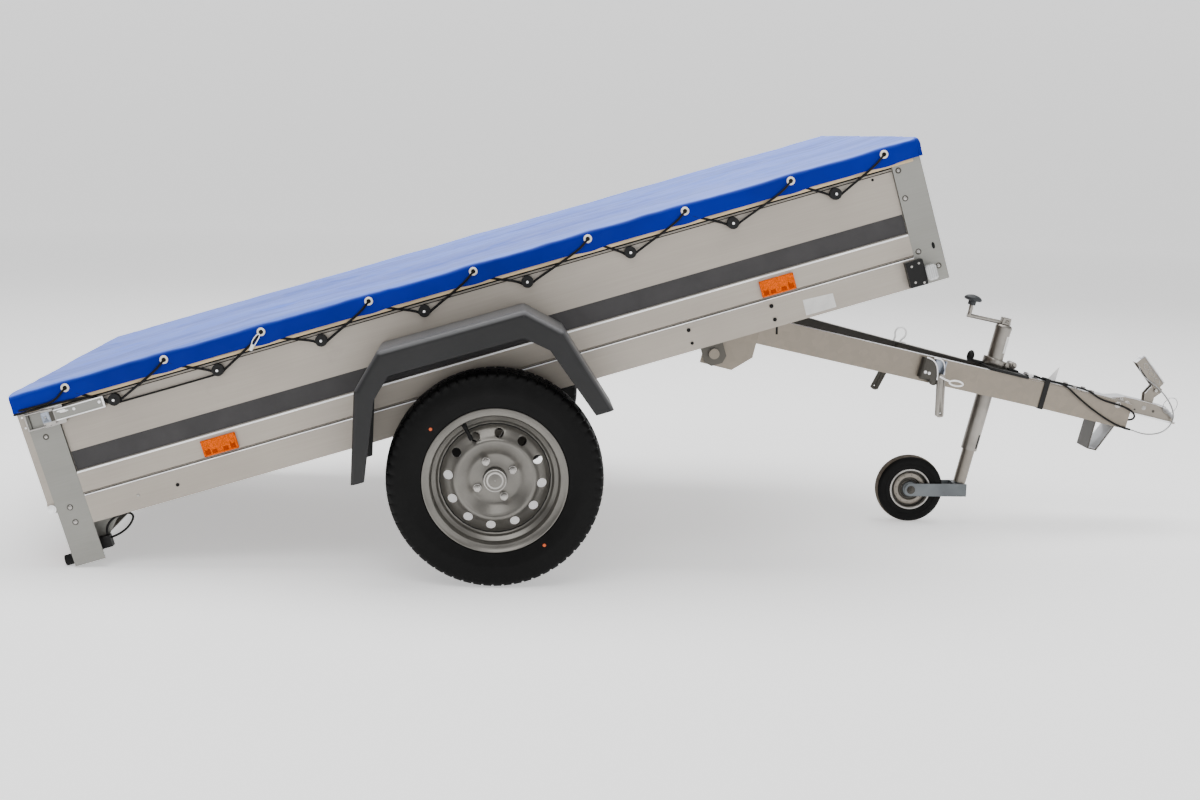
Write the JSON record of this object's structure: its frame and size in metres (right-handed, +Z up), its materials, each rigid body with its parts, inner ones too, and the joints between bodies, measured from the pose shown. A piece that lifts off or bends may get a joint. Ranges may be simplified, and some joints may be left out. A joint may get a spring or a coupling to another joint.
{
  "type": "tipping utility trailer",
  "caption": "Single-axle tipping utility trailer with sheet steel sides, a blue flat cover, black mudguards and a jockey wheel, its bed tipped up.",
  "frame": {"origin": "middle of the trailer's length and width, on the ground", "axes": "+X towards the coupling, +Y to the left side, +Z up"},
  "size_m": [3.2666, 1.68, 1.1415],
  "materials": {
    "zinc_sheet": "satin",
    "galvanised_steel": "satin",
    "bright_zinc": "gloss",
    "birch_plywood": "satin",
    "cover_cloth": "satin",
    "black_plastic": "matte",
    "clear_lens": "gloss",
    "red_lens": "gloss",
    "orange_reflector": "gloss",
    "silver_paint": "satin",
    "tyre_rubber": "matte",
    "black_rubber": "matte"
  },
  "bodies": {
    "bed": {"axle_brackets": "galvanised_steel", "axle_tube": "galvanised_steel", "cover": "cover_cloth", "cover_knobs": "black_plastic", "floor_board": "birch_plywood", "floor_crossmembers": "galvanised_steel", "front_panel": "zinc_sheet", "front_posts": "zinc_sheet", "gate_latches": "bright_zinc", "lamp_connectors": "black_plastic", "lamp_lead": "black_rubber", "marker_lamp_bases": "black_plastic", "marker_lamp_lenses": "clear_lens", "mudguards": "black_plastic", "rear_lamp_housings": "black_plastic", "rear_lamp_lenses": "red_lens", "rear_light_board": "zinc_sheet", "rear_posts": "zinc_sheet", "rubber_feet": "black_rubber", "side_panel_left": "zinc_sheet", "side_panel_right": "zinc_sheet", "side_reflectors": "orange_reflector", "swing_arms": "galvanised_steel", "tip_brackets": "galvanised_steel"},
    "drawbar": {"cable_strap": "black_plastic", "coupling_body": "bright_zinc", "coupling_handle": "bright_zinc", "drawbar_beam_left": "galvanised_steel", "drawbar_beam_right": "galvanised_steel", "drawbar_cable": "black_rubber", "drawbar_cross_channel": "galvanised_steel", "drawbar_tie_plate": "galvanised_steel", "jockey_clamp": "black_plastic", "jockey_crank": "bright_zinc", "jockey_crank_grip": "black_plastic", "jockey_outer_tube": "bright_zinc", "plug_holder": "bright_zinc", "safety_cable": "black_rubber", "safety_wire": "bright_zinc", "support_foot": "galvanised_steel", "tip_locks": "bright_zinc"},
    "wheel_right": {"wheel_hub_right": "bright_zinc", "wheel_rim_right": "silver_paint", "wheel_tyre_right": "tyre_rubber"},
    "wheel_left": {"wheel_hub_left": "bright_zinc", "wheel_rim_left": "silver_paint", "wheel_tyre_left": "tyre_rubber"},
    "tailgate": {"cover_rear_flap": "cover_cloth", "tailgate": "zinc_sheet"},
    "jockey_leg": {"jockey_inner_tube": "bright_zinc"},
    "jockey_fork": {"jockey_fork": "galvanised_steel"},
    "jockey_wheel": {"jockey_wheel_hub": "bright_zinc", "jockey_wheel_tyre": "tyre_rubber"}
  },
  "joints": [
    {"name": "tip_hinge", "type": "hinge", "parent": "bed", "child": "drawbar", "pos_m": [0.15938, 0, 0.56995], "axis": [0, -1, 0], "range_deg": [0, 30]},
    {"name": "wheel_right_spin", "type": "hinge", "parent": "bed", "child": "wheel_right", "pos_m": [-0.40668, -0.755, 0.2735], "axis": [0, 1, 0], "continuous": true},
    {"name": "wheel_left_spin", "type": "hinge", "parent": "bed", "child": "wheel_left", "pos_m": [-0.40668, 0.755, 0.2735], "axis": [0, 1, 0], "continuous": true},
    {"name": "tailgate_hinge", "type": "hinge", "parent": "bed", "child": "tailgate", "pos_m": [-1.53303, 0, 0.15083], "axis": [0, -1, 0], "range_deg": [0, 88]},
    {"name": "jockey_extend", "type": "slide", "parent": "drawbar", "child": "jockey_leg", "axis": [-0.225, 0, -0.9744], "range_m": [-0.075, 0.075]},
    {"name": "jockey_swivel", "type": "hinge", "parent": "jockey_leg", "child": "jockey_fork", "pos_m": [0.99102, 0, 0.1224], "axis": [-0.225, 0, -0.9744], "continuous": true},
    {"name": "jockey_spin", "type": "hinge", "parent": "jockey_fork", "child": "jockey_wheel", "pos_m": [0.83584, 0, 0.1], "axis": [0, 1, 0], "continuous": true}
  ]
}
